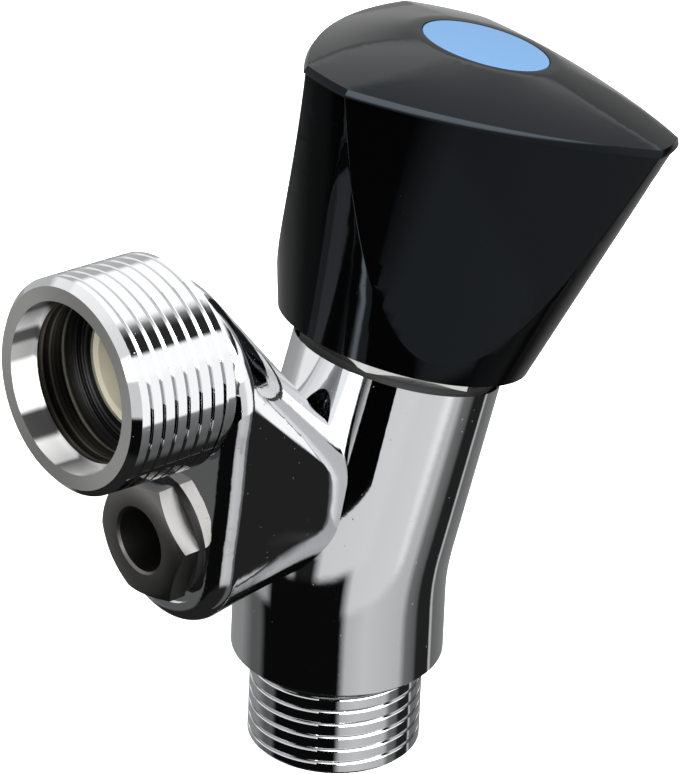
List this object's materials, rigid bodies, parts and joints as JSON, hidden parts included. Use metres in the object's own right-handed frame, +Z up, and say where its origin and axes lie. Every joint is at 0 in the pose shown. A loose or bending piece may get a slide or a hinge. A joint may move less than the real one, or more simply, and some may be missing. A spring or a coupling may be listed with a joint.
{
  "type": "bib tap",
  "caption": "Chromed bib tap with a male inlet, a side outlet holding a check valve, an air inlet plug below it, and a leaning three-lobed black handle with a blue index disc.",
  "frame": {"origin": "centre of the inlet thread's lower end", "axes": "+Z up along the inlet axis, -X towards the outlet, Y across the tap; the branch and handle lean towards +X"},
  "size_m": [0.0801, 0.0471, 0.0923],
  "materials": {
    "chrome_plated_brass": "polished chrome plating on cast brass",
    "machined_brass": "turned",
    "bright_nickel": "bright nickel plating on turned brass",
    "dark_nickel": "dull nickel plating on turned brass",
    "black_plastic": "gloss moulded",
    "blue_plastic": "satin moulded",
    "cream_plastic": "moulded",
    "black_rubber": "matt",
    "stainless_steel": "plain"
  },
  "bodies": {
    "base": {"valve_body": "chrome_plated_brass", "bonnet": "bright_nickel", "bonnet_washer": "black_rubber", "check_valve_body": "cream_plastic", "check_valve_cage": "black_plastic", "check_valve_o_ring": "black_rubber", "air_inlet_plug": "dark_nickel", "air_inlet_o_ring": "black_rubber"},
    "handle_assembly": {"handle": "black_plastic", "index_disc": "blue_plastic", "handle_screw": "stainless_steel", "spindle": "machined_brass", "spindle_o_ring_upper": "black_rubber", "spindle_o_ring_lower": "black_rubber", "spindle_circlip": "stainless_steel"},
    "plunger_assembly": {"plunger": "machined_brass", "plunger_o_ring": "black_rubber", "seat_washer": "black_rubber", "washer_screw": "stainless_steel"},
    "check_valve": {"check_poppet": "black_plastic", "check_poppet_seal": "black_rubber", "check_spring": "stainless_steel"},
    "air_valve": {"air_valve_disc": "black_rubber", "air_valve_spring": "stainless_steel"}
  },
  "joints": [
    {"name": "handle_turn", "type": "hinge", "parent": "base", "child": "handle_assembly", "pos_m": [0, 0, 0.0253], "axis": [0.2924, 0, 0.9563], "range_deg": [0, 720]},
    {"name": "plunger_lift", "type": "slide", "parent": "base", "child": "plunger_assembly", "axis": [0.2924, 0, 0.9563], "range_m": [0, 0.004]},
    {"name": "check_valve_slide", "type": "slide", "parent": "base", "child": "check_valve", "axis": [-0.998, 0, 0.0628], "range_m": [0, 0.0012], "stiffness_N_per_m": 200, "springref_m": -0.001, "deforming": ["check_spring"]},
    {"name": "air_valve_slide", "type": "slide", "parent": "base", "child": "air_valve", "axis": [1, 0, 0], "range_m": [0, 0.0012], "stiffness_N_per_m": 200, "springref_m": -0.001, "deforming": ["air_valve_spring"]}
  ],
  "couplings": [
    {"joint": "handle_turn", "follows": "plunger_lift", "rad_per_m": 3141.6}
  ]
}
